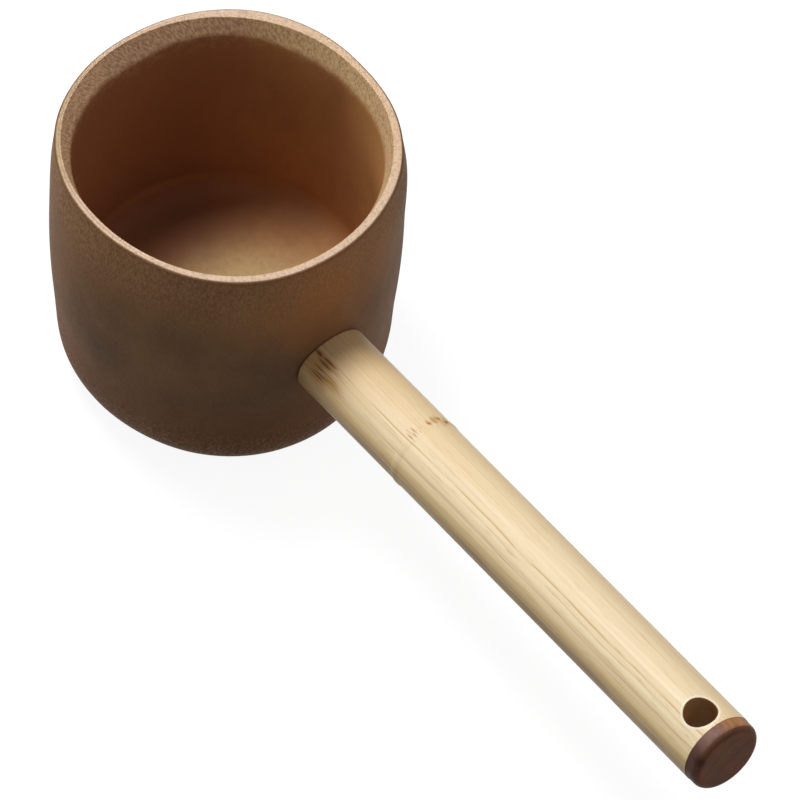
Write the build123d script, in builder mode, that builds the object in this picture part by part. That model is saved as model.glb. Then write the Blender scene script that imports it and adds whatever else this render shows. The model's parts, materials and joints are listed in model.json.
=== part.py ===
from build123d import *
import os

# A water dipper of thick-walled bamboo, in millimetres.
# The cup is one length of culm, turned on a lathe, and its floor is the culm's own node.
# The handle is a thinner culm, butted against the cup's wall and held there by a dowel.
# The origin is the centre of the foot, on the surface that the cup stands on.
# +Z is up, along the cup's axis, and the handle rises a little from it towards +X.

# Outside of the cup, which narrows from its belly up to the neck and down to the heel and foot
cup_height = 102.0
belly_radius = 55.0
belly_height = 66.0
neck_narrowing = 1.9
rim_rounding = 1.4
heel_narrowing = 2.6
heel_height = 20.0
heel_bulge_share = 0.55
foot_narrowing = 11.4

# Inside of the cup
rim_flat_width = 2.1
bevel_width = 2.7
bevel_depth = 8.0
heel_wall = 5.9
floor_height = 18.0
floor_rounding = 7.0

# Hollow under the foot, the far side of the culm's node
foot_ring_width = 7.0
recess_depth = 9.0
recess_edge_rounding = 1.0

# Handle, a straight culm with one node, which meets the cup's axis at its root
handle_root_height = 45.3
handle_tilt = 6.0
handle_radius = 12.2
handle_length = 191.5
handle_wall = 4.7
butt_rounding = 0.7
node_from_cup = 48.5
node_thickness = 4.0
node_ring_height = 0.25
node_ring_width = 3.4

# Hanging hole, drilled through the handle and its plug, turned a little off the handle's top
hang_hole_radius = 5.1
hang_hole_from_end = 6.8
hang_hole_turn = 5.0
hang_hole_rounding = 0.4

# Dark wooden plug in the handle's far end
plug_head_length = 5.0
plug_head_rounding = 2.2
plug_head_inset = 0.15
plug_spigot_length = 19.0
plug_spigot_chamfer = 1.0

# Dowel that joins the handle to the cup
dowel_depth_in_handle = 30.0
dowel_chamfer = 1.0

# Glue line round a peg in its bore, and under the butted end of the handle
glue_line = 0.1

# Sizes that follow from those above
neck_radius = belly_radius - neck_narrowing
neck_height = cup_height - rim_rounding
heel_radius = belly_radius - heel_narrowing
foot_radius = heel_radius - foot_narrowing
recess_radius = foot_radius - foot_ring_width
rim_edge_radius = neck_radius - rim_rounding
bevel_top_radius = rim_edge_radius - rim_flat_width
bevel_foot_radius = bevel_top_radius - bevel_width
bevel_foot_height = cup_height - bevel_depth
floor_radius = heel_radius - heel_wall
bore_radius = handle_radius - handle_wall
peg_radius = bore_radius - glue_line
handle_reach = belly_radius + handle_length
node_reach = belly_radius + node_from_cup
dowel_reach = belly_radius + dowel_depth_in_handle
plug_spigot_reach = handle_reach - plug_spigot_length
plug_head_reach = handle_reach + plug_head_length
plug_head_radius = handle_radius - plug_head_inset

# The handle's centre line and the planes along it and across it start at its root,
# and each reach above is a distance along that line from the root
handle_root = (0, 0, handle_root_height)
handle_direction = Vector(1, 0, 0).rotate(Axis.Y, -handle_tilt)
handle_line = Axis(handle_root, handle_direction)
along_handle = Plane(handle_root, x_dir=handle_direction, z_dir=(0, -1, 0))
across_handle = Plane(handle_root, x_dir=(0, 1, 0), z_dir=handle_direction)

# The hanging hole's plane lies on the handle's centre line and faces up along the hole
hang_hole_point = handle_line.position + handle_direction * (handle_reach - hang_hole_from_end)
hang_hole_direction = along_handle.y_dir.rotate(handle_line, hang_hole_turn)
hang_hole_plane = Plane(hang_hole_point, x_dir=handle_direction, z_dir=hang_hole_direction)

os.makedirs("parts", exist_ok=True)


def draw_cup_side(gap):
    """Draw the cup's bulging side, moved outwards by a gap, from the heel up to the neck."""
    return ThreePointArc(
        (heel_radius + gap, heel_height),
        (belly_radius + gap, belly_height),
        (neck_radius + gap, neck_height),
    )


def drill_hang_hole():
    """Bore the hanging hole through whatever lies in its way at the end of the handle."""
    with Locations(hang_hole_plane.offset(handle_radius)):
        Hole(radius=hang_hole_radius, depth=2 * handle_radius)


# The space inside the cup: a bevelled mouth, a nearly straight wall and a rounded floor
with BuildSketch(Plane.XZ) as cavity_outline:
    with BuildLine():
        Polyline(
            (0, cup_height),
            (bevel_top_radius, cup_height),
            (bevel_foot_radius, bevel_foot_height),
            (floor_radius, floor_height),
            (0, floor_height),
            close=True,
        )
    make_face()
    floor_corner = cavity_outline.vertices().group_by(Axis.Y)[0].sort_by(Axis.X)[-1]
    fillet(floor_corner, radius=floor_rounding)

# Cup: the turned outside, less the space inside, the hollow under the foot and the dowel's hole
with BuildPart() as cup:
    with BuildSketch(Plane.XZ):
        with BuildLine():
            side = draw_cup_side(0)
            heel_top = side @ 0
            heel_pull = heel_top - (side % 0) * (heel_bulge_share * heel_height)
            foot_pull = foot_radius + heel_bulge_share * (heel_radius - foot_radius)
            Bezier((foot_radius, 0), (foot_pull, 0), heel_pull, heel_top)
            CenterArc((rim_edge_radius, neck_height), rim_rounding, 0, 90)
            Polyline((rim_edge_radius, cup_height), (0, cup_height), (0, 0), (foot_radius, 0))
        make_face()
    revolve(axis=Axis.Z)
    revolve(cavity_outline.sketch, axis=Axis.Z, mode=Mode.SUBTRACT)
    with BuildSketch(Plane.XZ):
        with BuildLine():
            hollow = SagittaArc((-recess_radius, 0), (recess_radius, 0), recess_depth)
            Line(hollow @ 0, hollow @ 1)
        make_face()
        split(bisect_by=Plane.YZ)
    revolve(axis=Axis.Z, mode=Mode.SUBTRACT)
    foot_edges = cup.edges().filter_by(GeomType.CIRCLE).group_by(Axis.Z)[0]
    fillet(foot_edges.sort_by(SortBy.LENGTH)[0], radius=recess_edge_rounding)
    with BuildSketch(across_handle):
        Circle(bore_radius)
    extrude(amount=belly_radius + bore_radius, mode=Mode.SUBTRACT)

# Handle: hollow on both sides of its node, with its near end shaped to the cup's side
with BuildPart() as handle_tube:
    with BuildSketch(along_handle):
        with BuildLine():
            ring = ThreePointArc(
                (node_reach - node_ring_width / 2, handle_radius),
                (node_reach, handle_radius + node_ring_height),
                (node_reach + node_ring_width / 2, handle_radius),
            )
            Polyline(
                ring @ 1,
                (handle_reach, handle_radius),
                (handle_reach, 0),
                (floor_radius, 0),
                (floor_radius, handle_radius),
                ring @ 0,
            )
        make_face()
    revolve(axis=handle_line)
    with BuildSketch(across_handle):
        Circle(bore_radius)
    extrude(amount=node_reach - node_thickness / 2, mode=Mode.SUBTRACT)
    with BuildSketch(across_handle.offset(node_reach + node_thickness / 2)):
        Circle(bore_radius)
    extrude(amount=handle_reach - node_reach, mode=Mode.SUBTRACT)
    with BuildSketch(Plane.XZ):
        with BuildLine():
            butt = draw_cup_side(glue_line)
            Polyline(butt @ 1, (0, neck_height), (0, heel_height), butt @ 0)
        make_face()
    revolve(axis=Axis.Z, mode=Mode.SUBTRACT)
    butt_face = handle_tube.faces().sort_by(handle_line)[0]
    fillet(butt_face.outer_wire().edges(), radius=butt_rounding)
    drill_hang_hole()
    hole_edges = handle_tube.edges(Select.LAST).group_by(Axis(hang_hole_point, hang_hole_direction))
    fillet([*hole_edges[0], *hole_edges[-1]], radius=hang_hole_rounding)

# End plug: a rounded head nearly as wide as the handle, on a spigot glued into the handle's bore
with BuildPart() as end_plug:
    with BuildSketch(along_handle):
        with BuildLine():
            Polyline(
                (plug_spigot_reach, 0),
                (plug_spigot_reach, peg_radius),
                (handle_reach, peg_radius),
                (handle_reach, plug_head_radius),
                (plug_head_reach, plug_head_radius),
                (plug_head_reach, 0),
                close=True,
            )
        make_face()
    revolve(axis=handle_line)
    plug_ends = end_plug.edges().filter_by(GeomType.CIRCLE).group_by(handle_line)
    fillet(plug_ends[-1], radius=plug_head_rounding)
    chamfer(plug_ends[0], length=plug_spigot_chamfer)
    drill_hang_hole()

# Joint dowel: glued through the cup's wall and into the handle, its end flush with the wall inside
with BuildPart() as joint_dowel:
    with BuildSketch(across_handle):
        Circle(peg_radius)
    extrude(amount=dowel_reach)
    chamfer(joint_dowel.edges().sort_by(handle_line)[-1], length=dowel_chamfer)
    revolve(cavity_outline.sketch, axis=Axis.Z, mode=Mode.SUBTRACT)

cup.part.label = "cup"
handle_tube.part.label = "handle_tube"
end_plug.part.label = "end_plug"
joint_dowel.part.label = "joint_dowel"

export_step(cup.part, "parts/cup.step")
export_step(handle_tube.part, "parts/handle_tube.step")
export_step(end_plug.part, "parts/end_plug.step")
export_step(joint_dowel.part, "parts/joint_dowel.step")
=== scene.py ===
import json
import math

import bpy
from mathutils import Euler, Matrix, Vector


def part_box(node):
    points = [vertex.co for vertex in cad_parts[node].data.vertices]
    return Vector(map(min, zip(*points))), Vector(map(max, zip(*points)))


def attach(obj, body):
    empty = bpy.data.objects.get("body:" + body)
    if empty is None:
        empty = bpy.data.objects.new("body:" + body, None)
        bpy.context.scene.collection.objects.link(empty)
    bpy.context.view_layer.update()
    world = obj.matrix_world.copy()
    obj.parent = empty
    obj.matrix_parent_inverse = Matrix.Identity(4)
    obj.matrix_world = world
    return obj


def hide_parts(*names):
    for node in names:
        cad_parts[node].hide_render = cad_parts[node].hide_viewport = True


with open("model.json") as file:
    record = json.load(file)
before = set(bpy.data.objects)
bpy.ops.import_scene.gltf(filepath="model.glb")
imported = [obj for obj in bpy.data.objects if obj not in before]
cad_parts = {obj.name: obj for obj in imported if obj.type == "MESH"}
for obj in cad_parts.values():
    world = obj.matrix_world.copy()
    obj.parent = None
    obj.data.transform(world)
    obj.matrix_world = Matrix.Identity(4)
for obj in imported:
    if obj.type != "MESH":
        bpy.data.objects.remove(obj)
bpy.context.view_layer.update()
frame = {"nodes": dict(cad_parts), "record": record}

# Lengths are in metres, or in mm where a name or a comment says so. Angles are in degrees.
MM = 0.001

# The cup's profile, as the CAD has it
cup_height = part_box("cup")[1].z
belly_radius = 55.0 * MM
belly_height = 66.0 * MM
neck_radius = 53.1 * MM
cad_rim_rounding = 1.4 * MM
heel_radius = 52.4 * MM
heel_height = 20.0 * MM
heel_bulge_share = 0.55
foot_radius = 41.0 * MM
recess_radius = 34.0 * MM
recess_depth = 9.0 * MM
floor_radius = 46.5 * MM
floor_height = 18.0 * MM
floor_rounding = 7.0 * MM

# What the cup for looks has of its own: a side a hair inside the CAD's, a wall that widens upwards
# and flares to meet the bevel, and a worn inner edge on the rim
skin_inset = 0.04 * MM
wall_spread = 0.4 * MM
wall_flare_start = 60.0 * MM
worn_edge = 0.25 * MM
rim_rounding = 1.0 * MM

# Its mouth isn't round: each list goes once round the cup in even steps from the handle's side
edge_radii_mm = [
    52.0, 52.2, 52.6, 51.8, 50.4, 50.9, 51.3, 50.9,
    50.7, 51.7, 52.6, 52.2, 51.0, 50.5, 51.6, 52.3,
]
flat_widths_mm = [2.0, 2.2, 2.3, 1.9, 1.8, 2.6, 2.8, 2.0, 1.1, 0.9, 1.1, 1.3, 1.7, 1.5, 1.8, 2.0]
bevel_widths_mm = [2.8, 2.7, 2.5, 2.3, 2.3, 2.3, 2.1, 2.7, 3.5, 3.8, 3.3, 2.9, 2.3, 2.4, 3.0, 3.1]
bevel_depths_mm = [8.0, 8.0, 8.0, 8.8, 8.2, 8.5, 7.4, 6.9, 8.8, 8.0, 8.0, 8.0, 7.5, 8.0, 8.5, 8.0]
lobes_start = 74.0 * MM
sharp_edge_angle = 40.0

# Nor is its side, which is fuller in places at the heel and under the mouth. The lists go round as
# above, and each hump starts, is full and ends at the heights given.
heel_extra_mm = [2.0, 1.6, 1.2, 0.5, 0.2, 0.0, 0.0, 0.0, 0.0, 0.1, 0.0, 1.0, 0.6, 0.4, 1.3, 2.0]
shoulder_extra_mm = [0.1, 0.4, 0.8, 0.5, 0.0, 0.0, 0.0, 0.0, 0.0, 0.1, 0.3, 0.2, 0.0, 0.0, 0.0, 0.0]
heel_hump = (-4.0 * MM, 9.0 * MM, 34.0 * MM)
shoulder_hump = (68.0 * MM, 90.0 * MM, cup_height - rim_rounding)

# Where the cup's tones lie: each pair is where a tone starts and where it is full, in height or in
# distance from the middle of its patch or line
golden_top = (72.0 * MM, 102.0 * MM)
reddish_foot = (46.0 * MM, 18.0 * MM)
worn_heel = (34.0 * MM, 8.0 * MM)
worn_neck = (cup_height - 30.0 * MM, cup_height - 3.0 * MM)
tone_raggedness = 10.0 * MM
warm_patch_middle = (belly_radius, -2.0 * MM, 84.0 * MM)
warm_patch = (54.0 * MM, 12.0 * MM)
warm_patch_raggedness = 30.0 * MM
deep_wall = (60.0 * MM, 20.0 * MM)
# Where the painted highlight under the bevel lies, in height
wall_highlight = (62.0 * MM, 84.0 * MM)
# A painted highlight along the rounded corner between the wall and the floor
corner_highlight_height = floor_height + 0.8 * floor_rounding
corner_highlight = (2.6 * MM, 0.2 * MM)
# The golden floor's patch, partly the floor's own tone and partly a painted pool of light
golden_and_lit_floor_middle = (13.0 * MM, 4.0 * MM, floor_height)
golden_and_lit_floor = (49.0 * MM, 24.0 * MM)
golden_and_lit_floor_raggedness = 14.0 * MM

# The sides of the cup that differ from the others, each an angle from the handle's side towards +Y
# The first has a stripe of painted shade down it
shade_stripe_side = 56.0
highlight_edge_side = 66.0
golden_and_lit_side = 80.0
tan_side = 82.0
dull_side = 226.0
worn_side = -110.0

# The handle's centre line, which starts on the cup's axis, and the hole for its dowel in the cup
handle_root_height = 45.3 * MM
handle_tilt = 6.0
handle_radius = 12.2 * MM
handle_end = 246.5 * MM
mortise_radius = 7.5 * MM
mortise_length = 30.0 * MM

# Where the handle's tones and streaks lie: each pair is where one starts and where it is full, in
# distance round the handle from its top towards +Y, or in reach from the cup's axis
browned_side = (-15.0 * MM, -20.0 * MM)
yellowed_side = (-7.0 * MM, 1.0 * MM)
yellowed_reach = (180.0 * MM, 90.0 * MM)
finely_streaked_side = (4.0 * MM, -10.0 * MM)
streaked_side = (9.0 * MM, 18.0 * MM)
# The tan and the toast by the cup are partly painted shade from the cup
tanned_and_shaded_reach = (104.0 * MM, 68.0 * MM)
toasted_and_shaded_reach = (79.0 * MM, 62.0 * MM)
toast_and_shade_raggedness = 12.0 * MM
charred_reach = (68.0 * MM, 58.0 * MM)

# Long grain lines on the handle, each an angle from its top towards +Y and a strength. Each pair below
# is where a line starts and where it is full, in distance from its middle.
grain_lines = [
    (-80.0, 0.7),
    (-66.0, 0.4),
    (-52.0, 0.6),
    (-36.5, 0.5),
    (-27.6, 1.0),
    (-3.0, 0.3),
    (14.0, 0.3),
]
grain_line = (0.4 * MM, 0.04 * MM)
grain_sway = 3.0 * MM
glint_line = (0.45 * MM, 0.05 * MM)
glint_offset = 0.6 * MM

# Marks on the handle, each a reach from the cup's axis and an angle from the handle's top towards +Y,
# in mm and degrees, then a length along the handle and a width across it, in mm
stain_halos = [
    (61.0, -35.0, 8.0, 2.0),
    (61.5, -47.0, 7.0, 2.4),
    (62.0, -60.0, 7.0, 3.4),
    (67.0, -51.0, 6.5, 2.2),
]
stain_streaks = [
    (58.4, -31.8, 2.6, 0.8),
    (63.2, -31.0, 4.6, 0.6),
    (62.2, -38.0, 4.6, 0.7),
    (62.4, -58.5, 4.0, 0.36),
    (63.2, -54.0, 4.5, 0.3),
    (61.6, -47.5, 4.0, 0.3),
]
scar_halos = [
    (102.8, 12.0, 2.2, 1.3),
    (101.6, 24.0, 3.0, 2.0),
    (103.0, 35.0, 3.4, 2.4),
    (102.6, 45.0, 2.8, 1.8),
    (103.8, -8.0, 1.2, 0.25),
    (101.9, -13.5, 2.8, 0.5),
    (103.0, -17.0, 1.6, 0.3),
    (100.4, -20.0, 2.0, 0.3),
    (103.9, -23.5, 3.2, 0.45),
    (102.6, 84.0, 2.4, 1.6),
    (102.2, 128.0, 2.8, 1.4),
    (103.0, 171.0, 2.2, 1.8),
    (102.4, -104.0, 2.4, 1.0),
    (102.8, -147.0, 2.8, 1.6),
]
scar_specks = [
    (102.9, 10.8, 1.2, 0.8),
    (100.9, 26.0, 1.2, 0.9),
    (101.6, 33.5, 1.2, 0.9),
    (103.4, 40.0, 1.5, 1.2),
    (103.0, 122.0, 1.2, 0.8),
    (102.6, -150.0, 1.2, 0.8),
]

# The hanging hole, and the distances from its wall where its tones start and where they are full
hole = next(mount for mount in frame["record"]["mounts"] if mount["name"] == "hang_hole")
hole_place = Vector(hole["pos_m"])
hole_direction = Vector(hole["axis"])
hole_radius = hole["dims"]["r_mm"] * MM
hole_worn_edge = (1.3 * MM, 0.5 * MM)
hole_wall = (0.3 * MM, 0.1 * MM)

# Where the end plug's tones lie, in reach, in height above the centre line or in distance from the
# patch of painted shade on its rounded edge, and the middle of its growth rings
plug_edge = (handle_end + 3.4 * MM, handle_end + 4.0 * MM)
plug_face = (handle_end + 4.5 * MM, handle_end + 4.95 * MM)
plug_lower_part = (2.0 * MM, -11.0 * MM)
plug_shade_middle = (handle_end + 4.0 * MM, -9.5 * MM, 5.5 * MM)
plug_shade_patch = (4.5 * MM, 2.0 * MM)
plug_raggedness = 3.0 * MM
plug_pith = (0.0, 9.0 * MM, -14.0 * MM)

# How deep the fibres and pores look
cut_fibre_depth = 0.08 * MM
pore_depth = 0.03 * MM

# The camera stands where the photograph was taken from
camera_place = Vector((1.16198, -0.89612, 2.05863))
camera_azimuth = 50.13
camera_elevation = 54.91
camera_roll = 3.68
camera_lens_mm = 360.0
camera_sensor_mm = 36.0

# The studio: how strongly the world lights the dipper, how bright the floor is to the camera, and
# the point that the lamps are aimed at
world_light = 0.26
floor_brightness = 0.91
lamp_aim = Vector((0.05, 0.0, 0.05))


def colour(red, green, blue):
    """The linear colour of an 8-bit screen colour."""
    shares = [value / 255 for value in (red, green, blue)]
    linear = [share / 12.92 if share <= 0.04045 else ((share + 0.055) / 1.055) ** 2.4 for share in shares]
    return (*linear, 1.0)


class Finish:
    """A material in the making. Most of its methods add a node or two and give the output."""

    def __init__(self, name):
        self.material = bpy.data.materials.new(name)
        self.material.use_nodes = True
        self.tree = self.material.node_tree
        self.shader = self.tree.nodes["Principled BSDF"]
        self.place = self.add("ShaderNodeTexCoord").outputs["Object"]

    def add(self, kind, inputs=None, **settings):
        """Add a node with its settings, and fill its inputs."""
        node = self.tree.nodes.new(kind)
        for name, value in settings.items():
            setattr(node, name, value)
        for name, value in (inputs or {}).items():
            self.fill(node.inputs[name], value)
        return node

    def fill(self, socket, value):
        """Link an output to a socket, or set the socket's own value."""
        if isinstance(value, bpy.types.NodeSocket):
            self.tree.links.new(value, socket)
        else:
            socket.default_value = value

    def shade(self, **inputs):
        """Fill the shader's own sockets."""
        for name, value in inputs.items():
            self.fill(self.shader.inputs[name.replace("_", " ").title().replace("Ior", "IOR")], value)

    def math(self, operation, first, second=0.0, third=0.0):
        return self.add("ShaderNodeMath", {0: first, 1: second, 2: third}, operation=operation).outputs[0]

    def times(self, first, second):
        return self.math("MULTIPLY", first, second)

    def ragged(self, value, noise, amount):
        """The value with some of a noise added, so that what starts or ends at it has a ragged edge."""
        return self.math("MULTIPLY_ADD", noise, amount, value)

    def apart(self, value, middle):
        """How far the value is from a middle one, on either side."""
        return self.math("ABSOLUTE", self.math("SUBTRACT", value, middle))

    def rise(self, value, low, high, bottom=0.0, top=1.0):
        """Goes smoothly from bottom to top while the value goes from low to high."""
        inputs = {0: value, 1: low, 2: high, 3: bottom, 4: top}
        return self.add("ShaderNodeMapRange", inputs, interpolation_type="SMOOTHSTEP").outputs[0]

    def vector(self, operation, first, second=(0, 0, 0)):
        node = self.add("ShaderNodeVectorMath", {0: first, 1: second}, operation=operation)
        return node.outputs["Value" if operation in ("LENGTH", "DISTANCE") else "Vector"]

    def stretch(self, place, *shares):
        """The place with each coordinate taken at a share, which draws a texture out along it."""
        return self.vector("MULTIPLY", place, shares)

    def split(self, place):
        return self.add("ShaderNodeSeparateXYZ", {0: place}).outputs

    def join(self, x, y, z):
        return self.add("ShaderNodeCombineXYZ", {0: x, 1: y, 2: z}).outputs[0]

    def noise(self, place, scale, detail=2.0, roughness=0.5):
        inputs = {"Vector": place, "Scale": scale, "Detail": detail, "Roughness": roughness}
        return self.add("ShaderNodeTexNoise", inputs).outputs[0]

    def cells(self, place, scale):
        """The distance from the nearest of many scattered points."""
        return self.add("ShaderNodeTexVoronoi", {"Vector": place, "Scale": scale}).outputs["Distance"]

    def mix(self, share, first, second):
        """The first colour with a share of the second. A mix node has its colours at 6, 7 and 2."""
        return self.add("ShaderNodeMix", {0: share, 6: first, 7: second}, data_type="RGBA").outputs[2]

    def bump(self, height, distance, strength):
        inputs = {"Height": height, "Distance": distance, "Strength": strength}
        return self.add("ShaderNodeBump", inputs).outputs[0]


class CupFinish(Finish):
    """The cup's finish, with the coordinates and the textures that its parts share."""

    speck = colour(84, 56, 38)

    def __init__(self, name):
        super().__init__(name)
        self.zone = self.add("ShaderNodeAttribute", attribute_name="zone").outputs["Fac"]
        x, y, self.z = self.split(self.place)
        self.turn = self.math("ARCTAN2", y, x)
        self.fibre_place = self.stretch(self.place, 1.0, 1.0, 0.5)
        self.fibres = self.noise(self.fibre_place, 1500.0, 2.0, 0.6)
        self.mottle = self.noise(self.place, 520.0, 4.0, 0.7)
        self.clouds = self.noise(self.stretch(self.place, 1.0, 1.0, 0.6), 60.0, 4.0, 0.6)
        # The golden side is partly the bamboo's own tone and partly painted light where the inner wall is
        # lit
        golden = self.rise(self.facing(golden_and_lit_side), 0.1, 1.0)
        self.gold = self.times(golden, self.rise(self.clouds, 0.2, 0.8, 1.0, 0.5))

    def facing(self, angle):
        """1 on the side of the cup at an angle from the handle, down to -1 on the side across from it."""
        return self.math("COSINE", self.math("SUBTRACT", self.turn, math.radians(angle)))


def cup_wear(finish):
    """How far the skin is worn through at the heel, and near the rim, where one side has it most."""
    ragged_height = finish.ragged(finish.z, finish.clouds, tone_raggedness)
    low = finish.rise(ragged_height, *worn_heel, 0.0, 0.8)
    high = finish.rise(finish.z, *worn_neck, 0.06, 0.42)
    high = finish.times(high, finish.rise(finish.facing(worn_side), -0.4, 0.6, 0.5, 1.0))
    return low, high


def cup_outside(finish, worn_low, worn_high):
    """Brown skin, worn into specks where the cup's curve cuts across the fibres."""
    skin = colour(154, 114, 80)
    dark = colour(118, 92, 68)
    gold = colour(190, 142, 98)
    warm = colour(182, 118, 68)
    red = colour(158, 100, 62)
    fleck = colour(200, 160, 126)
    heel_fleck = colour(208, 166, 122)

    drift = finish.noise(finish.place, 16.0)
    base = finish.mix(finish.rise(drift, 0.35, 0.7), skin, dark)
    base = finish.mix(finish.rise(finish.clouds, 0.3, 0.75, 0.0, 0.3), base, finish.speck)
    ragged_height = finish.ragged(finish.z, finish.mottle, tone_raggedness)
    base = finish.mix(finish.rise(ragged_height, *golden_top, 0.0, 0.35), base, gold)
    off_warm_patch = finish.vector("DISTANCE", finish.place, warm_patch_middle)
    off_warm_patch = finish.ragged(off_warm_patch, finish.clouds, warm_patch_raggedness)
    base = finish.mix(finish.rise(off_warm_patch, *warm_patch, 0.0, 0.58), base, warm)
    base = finish.mix(finish.rise(finish.z, *reddish_foot, 0.0, 0.36), base, red)
    # A darker stripe down one side of the cup, painted shade
    base = finish.mix(finish.rise(finish.facing(shade_stripe_side), 0.88, 0.99, 0.0, 0.3), base, finish.speck)

    worn = finish.math("ADD", worn_low, worn_high)
    grit = finish.noise(finish.place, 1000.0)
    specks = [
        (finish.rise(finish.mottle, 0.48, 0.66, 0.0, 0.4), worn, finish.speck),
        (finish.rise(finish.fibres, 0.48, 0.62, 0.0, 0.7), worn, finish.speck),
        (finish.rise(finish.fibres, 0.5, 0.34, 0.0, 0.5), worn_high, fleck),
        (finish.rise(grit, 0.5, 0.62, 0.0, 0.6), worn_low, finish.speck),
        (finish.rise(grit, 0.47, 0.36, 0.0, 0.65), worn_low, heel_fleck),
    ]
    for share, wear, tone in specks:
        base = finish.mix(finish.times(share, wear), base, tone)
    return finish.mix(finish.rise(finish.zone, -0.22, -0.14, 0.0, 0.5), base, finish.speck)


def cup_inside(finish):
    """The wall, golden on one side partly as painted light, with a painted highlight under the bevel
    there, and the golden floor, partly a painted pool of light.
    """
    wall = colour(146, 96, 62)
    deep = colour(150, 104, 78)
    gold = colour(192, 136, 88)
    edge = colour(214, 160, 100)
    floor = colour(196, 166, 116)
    floor_dark = colour(150, 116, 74)

    base = finish.mix(finish.rise(finish.z, *deep_wall, 0.0, 0.7), wall, deep)
    # More golden on one side, partly painted light
    base = finish.mix(finish.gold, base, gold)
    # A painted golden highlight on the upper wall under the bevel, on one side
    under_bevel = finish.rise(finish.facing(highlight_edge_side), 0.87, 0.99)
    under_bevel = finish.times(under_bevel, finish.rise(finish.z, *wall_highlight, 0.0, 0.75))
    base = finish.mix(under_bevel, base, edge)

    # A paler line where the wall meets the floor, a painted highlight on the rounded corner
    line = finish.rise(finish.apart(finish.z, corner_highlight_height), *corner_highlight, 0.0, 0.3)
    line = finish.times(line, finish.rise(finish.clouds, 0.35, 0.65, 0.3, 1.0))
    base = finish.mix(line, base, gold)

    # The golden floor, partly a painted pool of light
    off_middle = finish.vector("DISTANCE", finish.place, golden_and_lit_floor_middle)
    off_middle = finish.ragged(off_middle, finish.clouds, golden_and_lit_floor_raggedness)
    base = finish.mix(finish.rise(off_middle, *golden_and_lit_floor), base, floor)
    floor_share = finish.rise(finish.zone, 2.95, 3.0, 0.0, 0.3)
    mottled = finish.times(finish.rise(finish.mottle, 0.42, 0.7), floor_share)
    return finish.mix(mottled, base, floor_dark)


def cup_bevel(finish):
    """The bevel, where the cut fibres show as slanting strokes and on the golden side more as dots."""
    bevel = colour(224, 184, 146)
    tan = colour(238, 204, 152)
    dark = colour(122, 82, 50)
    stroke_slant = 0.6
    stroke_length_share = 0.5

    base = finish.mix(finish.rise(finish.gold, 0.2, 0.9), bevel, tan)
    dots = finish.rise(finish.cells(finish.fibre_place, 1300.0), 0.05, 0.55, 0.5, 0.0)
    dots = finish.times(dots, finish.rise(finish.gold, 0.1, 0.7, 0.3, 1.0))
    base = finish.mix(dots, base, dark)
    around = finish.times(finish.turn, belly_radius)
    slanted = finish.math("SUBTRACT", around, finish.times(finish.z, stroke_slant))
    stroke_place = finish.join(slanted, finish.times(finish.z, stroke_length_share), 0.0)
    strokes = finish.rise(finish.noise(stroke_place, 1150.0, 2.0, 0.6), 0.4, 0.62, 0.0, 0.5)
    strokes = finish.times(strokes, finish.rise(finish.gold, 0.1, 0.7, 1.0, 0.55))
    base = finish.mix(strokes, base, dark)
    return finish.mix(finish.rise(finish.fibres, 0.38, 0.65, 0.0, 0.1), base, finish.speck)


def cup_rim(finish, bevelled):
    """The flat of the rim, with some of the bevel's look in specks and a faint seam on its dull side."""
    rim = colour(216, 188, 162)
    tan = colour(216, 184, 154)
    dull = colour(192, 166, 132)
    seam_zone = 0.42

    dullness = finish.facing(dull_side)
    base = finish.mix(finish.rise(finish.facing(tan_side), 0.55, 0.95), rim, tan)
    base = finish.mix(finish.rise(dullness, 0.8, 0.97), base, dull)
    seam = finish.rise(finish.apart(finish.zone, seam_zone), 0.18, 0.04, 0.0, 0.36)
    seam = finish.times(seam, finish.rise(dullness, 0.2, 0.7))
    base = finish.mix(seam, base, finish.speck)
    base = finish.mix(finish.rise(finish.mottle, 0.45, 0.68, 0.0, 0.3), base, bevelled)
    return finish.mix(finish.rise(finish.fibres, 0.45, 0.68, 0.0, 0.3), base, finish.speck)


def brown_bamboo():
    """The cup: oiled brown bamboo whose fibres run upwards, so cut faces show their ends."""
    finish = CupFinish("brown_bamboo")
    worn_low, worn_high = cup_wear(finish)
    outside = cup_outside(finish, worn_low, worn_high)
    bevelled = cup_bevel(finish)
    flat = cup_rim(finish, bevelled)
    inside = cup_inside(finish)
    frayed = finish.ragged(finish.zone, finish.noise(finish.place, 320.0, 4.0, 0.6), 0.42)

    base = finish.mix(finish.rise(finish.zone, -0.08, -0.01), outside, flat)
    base = finish.mix(finish.rise(finish.zone, 0.75, 1.02), base, bevelled)
    base = finish.mix(finish.rise(frayed, 1.9, 2.3), base, inside)
    finish.shade(base_color=base, roughness=finish.rise(finish.fibres, 0.3, 0.7, 0.5, 0.62))
    finish.shade(specular_ior_level=finish.rise(finish.zone, -0.1, 0.1, 0.05, 0.15))

    # The fibres stand out most where they are cut
    worn = finish.math("ADD", worn_low, worn_high)
    cut = finish.math("MAXIMUM", worn, finish.rise(finish.zone, -0.1, 0.1))
    cut = finish.times(cut, finish.rise(frayed, 2.22, 1.98))
    height = finish.times(finish.fibres, finish.rise(cut, 0.0, 1.0, 0.15, 1.0))
    finish.shade(normal=finish.bump(height, cut_fibre_depth, 0.6))
    return finish.material


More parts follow.
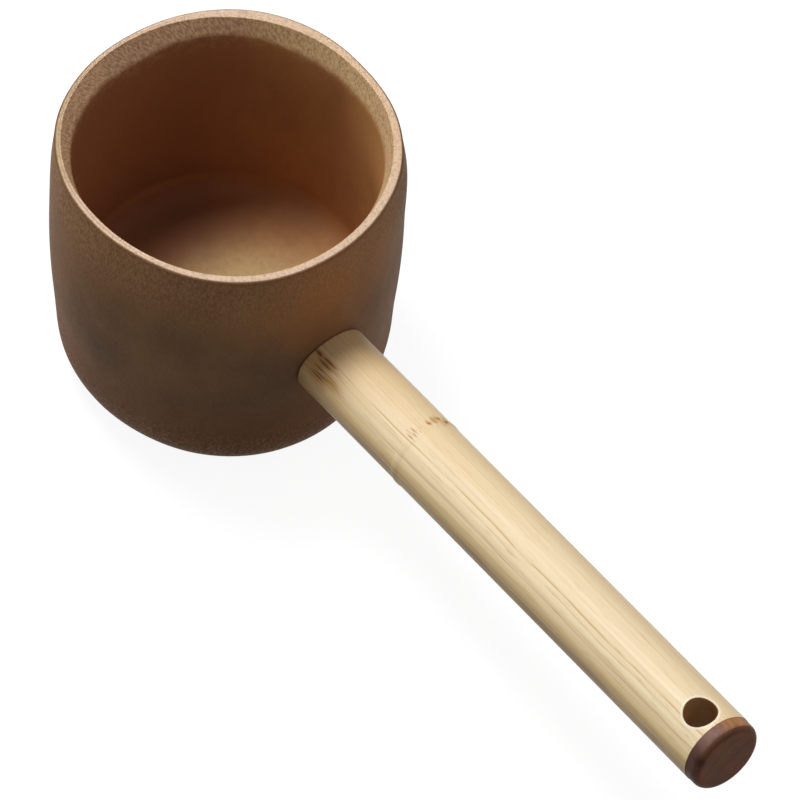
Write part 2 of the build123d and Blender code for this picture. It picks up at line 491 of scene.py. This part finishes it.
class HandleFinish(Finish):
    """A finish for a piece of the handle, with coordinates along and round its centre line."""

    def __init__(self, name):
        super().__init__(name)
        moved = self.vector("SUBTRACT", self.place, (0, 0, handle_root_height))
        inputs = {"Vector": moved, "Angle": math.radians(handle_tilt)}
        self.along = self.add("ShaderNodeVectorRotate", inputs, rotation_type="Y_AXIS").outputs[0]
        self.reach, side, self.up = self.split(self.along)
        self.turn = self.math("ARCTAN2", side, self.up)
        self.across = self.times(self.turn, handle_radius)

    def streaks(self, share, scale, detail=2.0, roughness=0.5):
        """A noise that is drawn out along the handle, more so the lower the share."""
        return self.noise(self.stretch(self.along, share, 1.0, 1.0), scale, detail, roughness)

    def off_hole(self):
        """The distance from the hanging hole's wall, above 0 outside the hole."""
        from_hole = self.vector("SUBTRACT", self.place, hole_place)
        off_axis = self.vector("LENGTH", self.vector("CROSS_PRODUCT", from_hole, hole_direction))
        return self.math("SUBTRACT", off_axis, hole_radius)

    def near_marks(self, marks):
        """How near the nearest of some marks is, each with its place and size: 1 at its centre."""
        nearest = 0.0
        for reach, angle, length, width in marks:
            along_mark = self.math("SUBTRACT", self.reach, reach * MM)
            along_mark = self.math("DIVIDE", along_mark, length * MM)
            off_mark = self.math("SUBTRACT", self.across, math.radians(angle) * handle_radius)
            off_mark = self.math("DIVIDE", off_mark, width * MM)
            away = self.vector("LENGTH", self.join(along_mark, off_mark, 0.0))
            nearest = self.math("MAXIMUM", nearest, self.rise(away, 1.5, 0.0))
        return nearest


def handle_skin(finish):
    """The skin's tone, which changes along the handle, and round it partly as painted light and shade."""
    base = colour(238, 216, 178)
    browned = colour(150, 112, 62)
    straw = colour(226, 196, 146)

    # Each tone, where it starts and where it is full, in mm round the handle from its top, and its share
    # The first two tones are painted light below the top towards -Y, the third is painted shade on the
    # underside
    tones_and_painted_light = [
        (colour(255, 235, 195), -3.0, -9.5, 1.0),
        (colour(249, 221, 166), -10.5, -15.0, 1.0),
        (colour(206, 172, 112), -13.5, -19.5, 1.0),
        (colour(216, 190, 144), 1.0, 12.0, 0.8),
    ]
    for tone, start, full, share in tones_and_painted_light:
        base = finish.mix(finish.rise(finish.across, start * MM, full * MM, 0.0, share), base, tone)

    patches = finish.rise(finish.streaks(0.25, 110.0), 0.42, 0.62, 0.0, 0.75)
    patches = finish.times(patches, finish.rise(finish.across, *browned_side))
    base = finish.mix(patches, base, browned)
    yellowed = finish.rise(finish.reach, *yellowed_reach, 0.0, 0.35)
    yellowed = finish.times(yellowed, finish.rise(finish.across, *yellowed_side))
    return finish.mix(yellowed, base, straw)


def handle_streaks(finish, base, fine):
    """Streaks along the handle, broad and fine, the finer ones fainter near its top."""
    straw = colour(226, 196, 146)
    thread = colour(188, 150, 98)

    streaky = finish.rise(finish.across, *finely_streaked_side, 0.45, 1.0)
    streaky = finish.math("MAXIMUM", streaky, finish.rise(finish.across, *streaked_side))
    base = finish.mix(finish.rise(finish.streaks(0.012, 170.0), 0.4, 0.75, 0.0, 0.15), base, straw)
    middling = finish.rise(finish.streaks(0.02, 480.0), 0.46, 0.7, 0.0, 0.4)
    base = finish.mix(finish.times(middling, streaky), base, straw)
    return finish.mix(finish.times(finish.rise(fine, 0.48, 0.7, 0.0, 0.26), streaky), base, thread)


def handle_grain_lines(finish, base):
    """A few long grain lines, which sway a little and come and go, each with a paler line beside it."""
    grain = colour(206, 162, 90)
    glint = colour(255, 240, 208)

    sway = finish.noise(finish.stretch(finish.along, 1.0, 0.0, 0.0), 18.0, 3.0)
    sway = finish.times(finish.math("SUBTRACT", sway, 0.5), grain_sway)
    for angle, strength in grain_lines:
        off_line = finish.math("ADD", finish.across, sway)
        off_line = finish.math("SUBTRACT", off_line, math.radians(angle) * handle_radius)
        line = finish.rise(finish.math("ABSOLUTE", off_line), *grain_line, 0.0, 0.7 * strength)
        beside = finish.rise(finish.apart(off_line, -glint_offset), *glint_line, 0.0, 0.5 * strength)
        patchy = finish.noise(finish.vector("ADD", finish.along, (angle, 0, 0)), 60.0)
        patchy = finish.rise(patchy, 0.36, 0.56, 0.2, 1.0)
        base = finish.mix(finish.times(beside, patchy), base, glint)
        base = finish.mix(finish.times(line, patchy), base, grain)
    return base


def handle_toast_and_shade(finish, base, fine):
    """The end by the cup is toasted, partly as painted shade from the cup, and charred right beside the
    cup.
    """
    tan = colour(196, 152, 92)
    toast_and_shade = colour(160, 106, 56)
    char = colour(92, 52, 22)

    ragged_reach = finish.ragged(finish.reach, fine, toast_and_shade_raggedness)
    # Tan and toast towards the cup, partly painted shade
    base = finish.mix(finish.rise(ragged_reach, *tanned_and_shaded_reach, 0.0, 0.4), base, tan)
    base = finish.mix(finish.rise(ragged_reach, *toasted_and_shaded_reach, 0.0, 0.28), base, toast_and_shade)
    charred = finish.rise(fine, 0.5, 0.68, 0.0, 0.25)
    charred = finish.times(charred, finish.rise(finish.reach, *charred_reach))
    return finish.mix(charred, base, char)


def handle_stains(finish, base):
    """Stains by the cup: dark streaks along the fibres in amber halos."""
    stained = colour(200, 148, 78)
    streaked = colour(126, 82, 42)

    hairs = finish.math("SUBTRACT", finish.streaks(0.08, 1500.0, 2.0, 0.6), 0.5)
    halo = finish.ragged(finish.near_marks(stain_halos), hairs, 1.6)
    base = finish.mix(finish.rise(halo, 0.0, 1.0, 0.0, 0.85), base, stained)
    base = finish.mix(finish.rise(halo, 0.8, 1.4, 0.0, 0.5), base, streaked)
    streak = finish.ragged(finish.near_marks(stain_streaks), hairs, 1.0)
    return finish.mix(finish.rise(streak, 0.1, 0.95, 0.0, 0.95), base, streaked)


def handle_scar(finish, base):
    """The trimmed node's broken scar: brown specks in amber halos."""
    amber = colour(188, 130, 58)
    brown = colour(92, 52, 22)

    grit = finish.math("SUBTRACT", finish.streaks(0.22, 1300.0, 3.0, 0.6), 0.5)
    halo = finish.ragged(finish.near_marks(scar_halos), grit, 2.2)
    base = finish.mix(finish.rise(halo, 0.42, 1.0, 0.0, 0.75), base, amber)
    specks = finish.ragged(finish.near_marks(scar_specks), grit, 2.2)
    return finish.mix(finish.rise(specks, 0.7, 1.05, 0.0, 0.85), base, brown)


def blond_bamboo():
    """The handle: pale bamboo with fine streaks along it, a trimmed node and a few stains."""
    bright = colour(252, 242, 222)
    scorched = colour(168, 124, 74)

    finish = HandleFinish("blond_bamboo")
    fine = finish.streaks(0.012, 1300.0, 3.0, 0.6)
    base = handle_skin(finish)
    base = handle_streaks(finish, base, fine)
    base = handle_grain_lines(finish, base)
    base = handle_toast_and_shade(finish, base, fine)
    base = handle_stains(finish, base)
    base = handle_scar(finish, base)

    # The hole's worn edge is brighter and its wall is scorched
    off_hole = finish.off_hole()
    base = finish.mix(finish.rise(off_hole, *hole_worn_edge, 0.0, 0.7), base, bright)
    base = finish.mix(finish.rise(off_hole, *hole_wall), base, scorched)

    finish.shade(base_color=base, roughness=finish.rise(fine, 0.3, 0.7, 0.38, 0.52))
    finish.shade(specular_ior_level=0.35)
    finish.shade(normal=finish.bump(fine, pore_depth, 0.4))
    return finish.material


def dark_wood():
    """The end plug: dark oiled hardwood, lighter along its side than on its end grain."""
    side_grain = colour(138, 104, 92)
    # The side's warm tone is a painted highlight, and its dark tone is painted shade
    painted_side_highlight = colour(176, 124, 84)
    painted_side_shade = colour(96, 68, 60)
    edge_grain = colour(112, 76, 58)
    end_grain = colour(132, 72, 42)
    end_olive = colour(118, 74, 42)
    dark = colour(60, 34, 22)
    bored = colour(184, 148, 104)
    shade_turn = [math.radians(angle) for angle in (-60.0, -20.0)]
    highlight_turn = [math.radians(angle) for angle in (-10.0, 20.0)]

    finish = HandleFinish("dark_wood")
    pores = finish.streaks(0.2, 2600.0, 2.0, 0.6)
    clouds = finish.noise(finish.along, 160.0, 3.0)
    off_pith = finish.stretch(finish.vector("SUBTRACT", finish.along, plug_pith), 0.0, 1.0, 1.0)
    wobble = finish.noise(finish.along, 120.0)
    ring_radius = finish.ragged(finish.vector("LENGTH", off_pith), wobble, plug_raggedness)
    rings = finish.noise(finish.join(ring_radius, 0.0, 0.0), 500.0, 2.0, 0.6)

    # The side, with painted shade at one end of its visible band, towards -Y, and a painted warm
    # highlight at the other, towards +Y
    side = finish.mix(finish.rise(finish.turn, *shade_turn), painted_side_shade, side_grain)
    side = finish.mix(finish.rise(finish.turn, *highlight_turn), side, painted_side_highlight)

    # The end face, the rounded edge round it and a patch of painted shade on that
    end = finish.mix(finish.rise(finish.noise(finish.along, 90.0), 0.4, 0.65), end_grain, end_olive)
    end = finish.mix(finish.rise(finish.up, *plug_lower_part, 0.0, 0.3), end, dark)
    base = finish.mix(finish.rise(finish.reach, *plug_edge), side, edge_grain)
    base = finish.mix(finish.rise(finish.reach, *plug_face), base, end)
    off_shade_patch = finish.vector("DISTANCE", finish.along, plug_shade_middle)
    off_shade_patch = finish.ragged(off_shade_patch, clouds, plug_raggedness)
    base = finish.mix(finish.rise(off_shade_patch, *plug_shade_patch, 0.0, 0.7), base, dark)
    base = finish.mix(finish.rise(clouds, 0.4, 0.65, 0.0, 0.25), base, dark)
    base = finish.mix(finish.rise(rings, 0.45, 0.7, 0.0, 0.35), base, dark)
    base = finish.mix(finish.rise(pores, 0.5, 0.75, 0.0, 0.3), base, dark)
    base = finish.mix(finish.rise(finish.off_hole(), *hole_wall), base, bored)

    finish.shade(base_color=base, roughness=finish.rise(pores, 0.3, 0.7, 0.4, 0.55))
    finish.shade(specular_ior_level=0.08)
    finish.shade(normal=finish.bump(pores, pore_depth, 0.4))
    return finish.material


def dowel_wood():
    """The joint dowel: plain hardwood, stained like the inside of the cup."""
    finish = Finish("dowel_wood")
    rings = finish.noise(finish.stretch(finish.place, 0.1, 1.0, 1.0), 600.0, 3.0)
    base = finish.mix(finish.rise(rings, 0.35, 0.65), colour(124, 72, 42), colour(92, 50, 30))
    finish.shade(base_color=base, roughness=0.55)
    finish.shade(normal=finish.bump(rings, pore_depth, 0.4))
    return finish.material


def round_the_cup(values_mm, turn):
    """The value at a share of a turn round the cup, on a smooth closed curve through the values."""
    count = len(values_mm)
    index = math.floor(turn * count)
    share = turn * count - index
    before, first, second, after = (values_mm[(index + k) % count] for k in (-1, 0, 1, 2))
    slope_in = (second - before) / 2
    slope_out = (after - first) / 2
    square = share**2
    cube = share**3
    value = (2 * cube - 3 * square + 1) * first + (cube - 2 * square + share) * slope_in
    value += (3 * square - 2 * cube) * second + (cube - square) * slope_out
    return value * MM


def smooth_step(value, low, high):
    """Goes smoothly from 0 at low to 1 at high."""
    share = min(max((value - low) / (high - low), 0.0), 1.0)
    return share * share * (3 - 2 * share)


def hump(value, low, middle, high):
    """Rises from 0 at low to 1 in the middle and falls back to 0 at high."""
    return smooth_step(value, low, middle) * (1 - smooth_step(value, middle, high))


def steps(count, first=0):
    """Even shares up to 1, from the first step on."""
    return [k / count for k in range(first, count + 1)]


def side_radius(z):
    """The cup's radius on the arc through its heel, its belly and its neck, a hair inside the CAD's."""
    heel = (heel_radius, heel_height)
    belly = (belly_radius, belly_height)
    neck = (neck_radius, cup_height - cad_rim_rounding)
    (ax, ay), (bx, by), (cx, cy) = heel, belly, neck
    a, b, c = (x * x + y * y for x, y in (heel, belly, neck))
    turn = 2 * (ax * (by - cy) + bx * (cy - ay) + cx * (ay - by))
    centre_x = (a * (by - cy) + b * (cy - ay) + c * (ay - by)) / turn
    centre_y = (a * (cx - bx) + b * (ax - cx) + c * (bx - ax)) / turn
    radius = math.hypot(ax - centre_x, ay - centre_y)
    return centre_x + math.sqrt(radius**2 - (z - centre_y) ** 2) - skin_inset


# Each function below gives a part of the cup's outline as points. A point is a radius, a height and
# a zone: under 0 outside, then from 0 on the rim's flat, from 1 on the bevel, from 2 on the wall and
# from 3 on the floor.


def foot_points():
    """The hollow under the foot, a shallow dome, and the ring that the cup stands on."""
    dome = (recess_radius**2 + recess_depth**2) / (2 * recess_depth)
    points = []
    for share in steps(14):
        radius = recess_radius * share
        points.append((radius, recess_depth - dome + math.sqrt(dome**2 - radius**2), -1.0))
    for share in steps(3, 1):
        points.append((recess_radius + (foot_radius - recess_radius) * share, 0.0, -1.0))
    return points


def heel_points(heel_extra):
    """The heel, a curve that leaves the foot level and meets the side along its slope."""
    hair = 0.1 * MM
    slope = (side_radius(heel_height + hair) - side_radius(heel_height)) / hair
    pull_z = heel_height * (1 - heel_bulge_share)
    pull_radius = heel_radius - slope * heel_height * heel_bulge_share
    foot_pull = foot_radius + heel_bulge_share * (heel_radius - foot_radius)
    points = []
    for t in steps(16, 1):
        weights = ((1 - t) ** 3, 3 * t * (1 - t) ** 2, 3 * t * t * (1 - t), t**3)
        radii = (foot_radius, foot_pull, pull_radius, heel_radius)
        radius = sum(weight * radius for weight, radius in zip(weights, radii))
        z = weights[2] * pull_z + weights[3] * heel_height
        points.append((radius + heel_extra * hump(z, *heel_hump), z, -1.0))
    return points


def side_points(edge, heel_extra, shoulder_extra):
    """The side, which turns from round to the mouth's own outline."""
    neck_height = cup_height - rim_rounding
    lobe = edge + rim_rounding - side_radius(neck_height)
    points = []
    for share in steps(44, 1):
        z = heel_height + (neck_height - heel_height) * share
        radius = side_radius(z)
        radius += lobe * 2 * smooth_step(z, lobes_start, 2 * neck_height - lobes_start)
        radius += heel_extra * hump(z, *heel_hump)
        radius += shoulder_extra * hump(z, *shoulder_hump)
        points.append((radius, z, share - 1.2))
    return points


def rim_points(edge, flat):
    """The rim: a rounded outer edge, the flat and a slightly worn inner edge."""
    points = []
    for share in steps(6, 1):
        angle = share * math.pi / 2
        radius = edge + rim_rounding * math.cos(angle)
        z = cup_height - rim_rounding * (1 - math.sin(angle))
        points.append((radius, z, 0.2 * share - 0.2))
    for share in steps(4, 1):
        points.append((edge + (flat + worn_edge - edge) * share, cup_height, 0.9 * share))
    for share in steps(3, 1):
        angle = share * math.pi / 2
        radius = flat + worn_edge * (1 - math.sin(angle))
        z = cup_height - worn_edge * (1 - math.cos(angle))
        points.append((radius, z, 0.9 + 0.1 * share))
    return points


def bevel_points(flat, bevel_foot, bevel_low):
    """The bevel, straight down from the rim's worn edge."""
    top = cup_height - worn_edge
    points = []
    for share in steps(10, 1):
        points.append((flat + (bevel_foot - flat) * share, top + (bevel_low - top) * share, 1 + share))
    return points


def inside_points(bevel_foot, bevel_low):
    """The wall, straight but for its flare, the round corner below it and the floor."""
    wall_low = floor_height + floor_rounding
    corner = floor_radius - floor_rounding
    points = []
    for share in steps(36, 1):
        z = bevel_low + (wall_low - bevel_low) * share
        plain = floor_radius + wall_spread * (z - floor_height) / (cup_height - floor_height)
        radius = plain + (bevel_foot - plain) * smooth_step(z, wall_flare_start, bevel_low)
        points.append((radius, z, 2 + 0.9 * share))
    for share in steps(8, 1):
        angle = share * math.pi / 2
        radius = corner + floor_rounding * math.cos(angle)
        points.append((radius, wall_low - floor_rounding * math.sin(angle), 2.9 + 0.1 * share))
    for share in steps(14, 1):
        points.append((corner * (1 - share), floor_height, 3 + share))
    return points


def cup_profile(turn):
    """The cup's outline at a share of a turn: up its outside, over its rim and down to its floor."""
    edge = round_the_cup(edge_radii_mm, turn)
    flat = edge - round_the_cup(flat_widths_mm, turn)
    bevel_foot = flat - round_the_cup(bevel_widths_mm, turn)
    bevel_low = cup_height - round_the_cup(bevel_depths_mm, turn)
    heel_extra = round_the_cup(heel_extra_mm, turn)
    shoulder_extra = round_the_cup(shoulder_extra_mm, turn)
    return [
        *foot_points(),
        *heel_points(heel_extra),
        *side_points(edge, heel_extra, shoulder_extra),
        *rim_points(edge, flat),
        *bevel_points(flat, bevel_foot, bevel_low),
        *inside_points(bevel_foot, bevel_low),
    ]


def turned_cup():
    """The cup as the photograph shows it, with its uneven mouth and the dowel's hole through its wall."""
    columns = 384
    rings = [cup_profile(column / columns) for column in range(columns)]
    rows = len(rings[0])

    # The first point and the last lie on the cup's axis, so all the columns share them
    vertices = [(0, 0, rings[0][0][1]), (0, 0, rings[0][-1][1])]
    zones = [rings[0][0][2], rings[0][-1][2]]
    for row in range(1, rows - 1):
        for column, ring in enumerate(rings):
            angle = 2 * math.pi * column / columns
            radius, z, zone = ring[row]
            vertices.append((radius * math.cos(angle), radius * math.sin(angle), z))
            zones.append(zone)
    faces = []
    last = 2 + (rows - 3) * columns
    for column in range(columns):
        after = (column + 1) % columns
        faces.append((0, 2 + after, 2 + column))
        faces.append((1, last + column, last + after))
        for low in range(2, last, columns):
            high = low + columns
            faces.append((low + column, low + after, high + after, high + column))

    mesh = bpy.data.meshes.new("turned_cup")
    mesh.from_pydata(vertices, [], faces)
    mesh.attributes.new("zone", "FLOAT", "POINT").data.foreach_set("value", zones)
    cup = bpy.data.objects.new("turned_cup", mesh)
    bpy.context.scene.collection.objects.link(cup)
    drill_mortise(cup)
    cup.data.shade_smooth()
    cup.data.set_sharp_from_angle(angle=math.radians(sharp_edge_angle))
    return cup


def drill_mortise(cup):
    """Cut the dowel's hole through the cup's wall, along the handle's centre line."""
    wall_middle = (floor_radius + belly_radius) / 2
    tilt = math.radians(handle_tilt)
    direction = Vector((math.cos(tilt), 0, math.sin(tilt)))
    middle = Vector((0, 0, handle_root_height)) + direction * wall_middle
    bpy.ops.mesh.primitive_cylinder_add(vertices=96, radius=mortise_radius, depth=mortise_length)
    cutter = bpy.context.object
    cutter.rotation_euler = direction.to_track_quat("Z", "Y").to_euler()
    cutter.location = middle
    boolean = cup.modifiers.new("mortise", "BOOLEAN")
    boolean.operation = "DIFFERENCE"
    boolean.object = cutter
    boolean.solver = "EXACT"
    evaluated = cup.evaluated_get(bpy.context.evaluated_depsgraph_get())
    cup.data = bpy.data.meshes.new_from_object(evaluated)
    cup.modifiers.clear()
    bpy.data.objects.remove(cutter)

    # The hole's new vertices have no zone yet, so all those round it take the wall's or the side's
    wall_zone = 2.5
    side_zone = -0.5
    margin = 1.15 * mortise_radius
    for vertex, zone in zip(cup.data.vertices, cup.data.attributes["zone"].data):
        x, y, z = vertex.co
        if x > 0 and abs(y) < margin and abs(z - middle.z) < margin:
            zone.value = wall_zone if math.hypot(x, y) < wall_middle else side_zone


def dress(node, material):
    """Give a CAD node its finish."""
    mesh = frame["nodes"][node].data
    mesh.materials.clear()
    mesh.materials.append(material)


def pale_floor():
    """The floor that the dipper stands on. The camera sees it nearly white, but it lights little."""
    half = 3.0
    corners = [(-half, -half, 0), (half, -half, 0), (half, half, 0), (-half, half, 0)]
    mesh = bpy.data.meshes.new("floor")
    mesh.from_pydata(corners, [], [(0, 1, 2, 3)])
    floor = bpy.data.objects.new("floor", mesh)
    bpy.context.scene.collection.objects.link(floor)
    finish = Finish("floor")
    finish.shade(base_color=colour(112, 112, 112), roughness=0.9, specular_ior_level=0.0)
    mesh.materials.append(finish.material)
    light_path = finish.add("ShaderNodeLightPath").outputs
    seen = finish.math("MAXIMUM", light_path["Is Camera Ray"], light_path["Is Glossy Ray"])
    seen = finish.math("MAXIMUM", seen, light_path["Is Transmission Ray"])
    finish.shade(emission_color=(1, 1, 1, 1), emission_strength=finish.times(seen, floor_brightness))


def studio_world():
    """A white studio all round, which lights the dipper less strongly than the camera sees it."""
    world = bpy.data.worlds.new("studio")
    bpy.context.scene.world = world
    world.use_nodes = True
    nodes = world.node_tree.nodes
    links = world.node_tree.links
    background = nodes["Background"]
    light_path = nodes.new("ShaderNodeLightPath")
    seen = nodes.new("ShaderNodeMath")
    seen.operation = "MAXIMUM"
    links.new(light_path.outputs["Is Camera Ray"], seen.inputs[0])
    links.new(light_path.outputs["Is Transmission Ray"], seen.inputs[1])
    strength = nodes.new("ShaderNodeMapRange")
    strength.inputs[3].default_value = world_light
    strength.inputs[4].default_value = 1.0
    links.new(seen.outputs[0], strength.inputs[0])
    links.new(strength.outputs[0], background.inputs["Strength"])
    background.inputs["Color"].default_value = (1, 1, 1, 1)


def soft_box(name, azimuth, elevation, distance, width, brightness):
    """A lamp aimed at the dipper. Its brightness is the share of white that it gives a facing surface."""
    turn = math.radians(azimuth)
    rise = math.radians(elevation)
    back = Vector((math.sin(turn) * math.cos(rise), -math.cos(turn) * math.cos(rise), math.sin(rise)))
    light = bpy.data.lights.new(name, "AREA")
    light.shape = "DISK"
    light.size = width
    light.energy = brightness * (math.pi * distance) ** 2
    lamp = bpy.data.objects.new(name, light)
    lamp.location = lamp_aim + back * distance
    lamp.rotation_euler = back.to_track_quat("Z", "Y").to_euler()
    bpy.context.scene.collection.objects.link(lamp)


def photographer():
    """The camera, aimed by its azimuth and elevation and then rolled."""
    data = bpy.data.cameras.new("camera")
    data.lens = camera_lens_mm
    data.sensor_width = camera_sensor_mm
    camera = bpy.data.objects.new("camera", data)
    camera.location = camera_place
    tilt = Euler((math.radians(90 - camera_elevation), 0, math.radians(camera_azimuth)))
    roll = Euler((0, 0, math.radians(camera_roll)))
    camera.rotation_euler = (tilt.to_matrix() @ roll.to_matrix()).to_euler()
    bpy.context.scene.collection.objects.link(camera)
    bpy.context.scene.camera = camera


cup = turned_cup()
cup.data.materials.append(brown_bamboo())
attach(cup, "root")
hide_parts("cup")
dress("handle_tube", blond_bamboo())
dress("end_plug", dark_wood())
dress("joint_dowel", dowel_wood())

pale_floor()
studio_world()
soft_box("key", azimuth=275.0, elevation=68.0, distance=1.6, width=0.6, brightness=0.8)
soft_box("side", azimuth=140.0, elevation=40.0, distance=1.6, width=1.0, brightness=0.12)
soft_box("left", azimuth=320.0, elevation=25.0, distance=1.6, width=1.0, brightness=0.07)
photographer()
bpy.context.scene.view_settings.view_transform = "Standard"
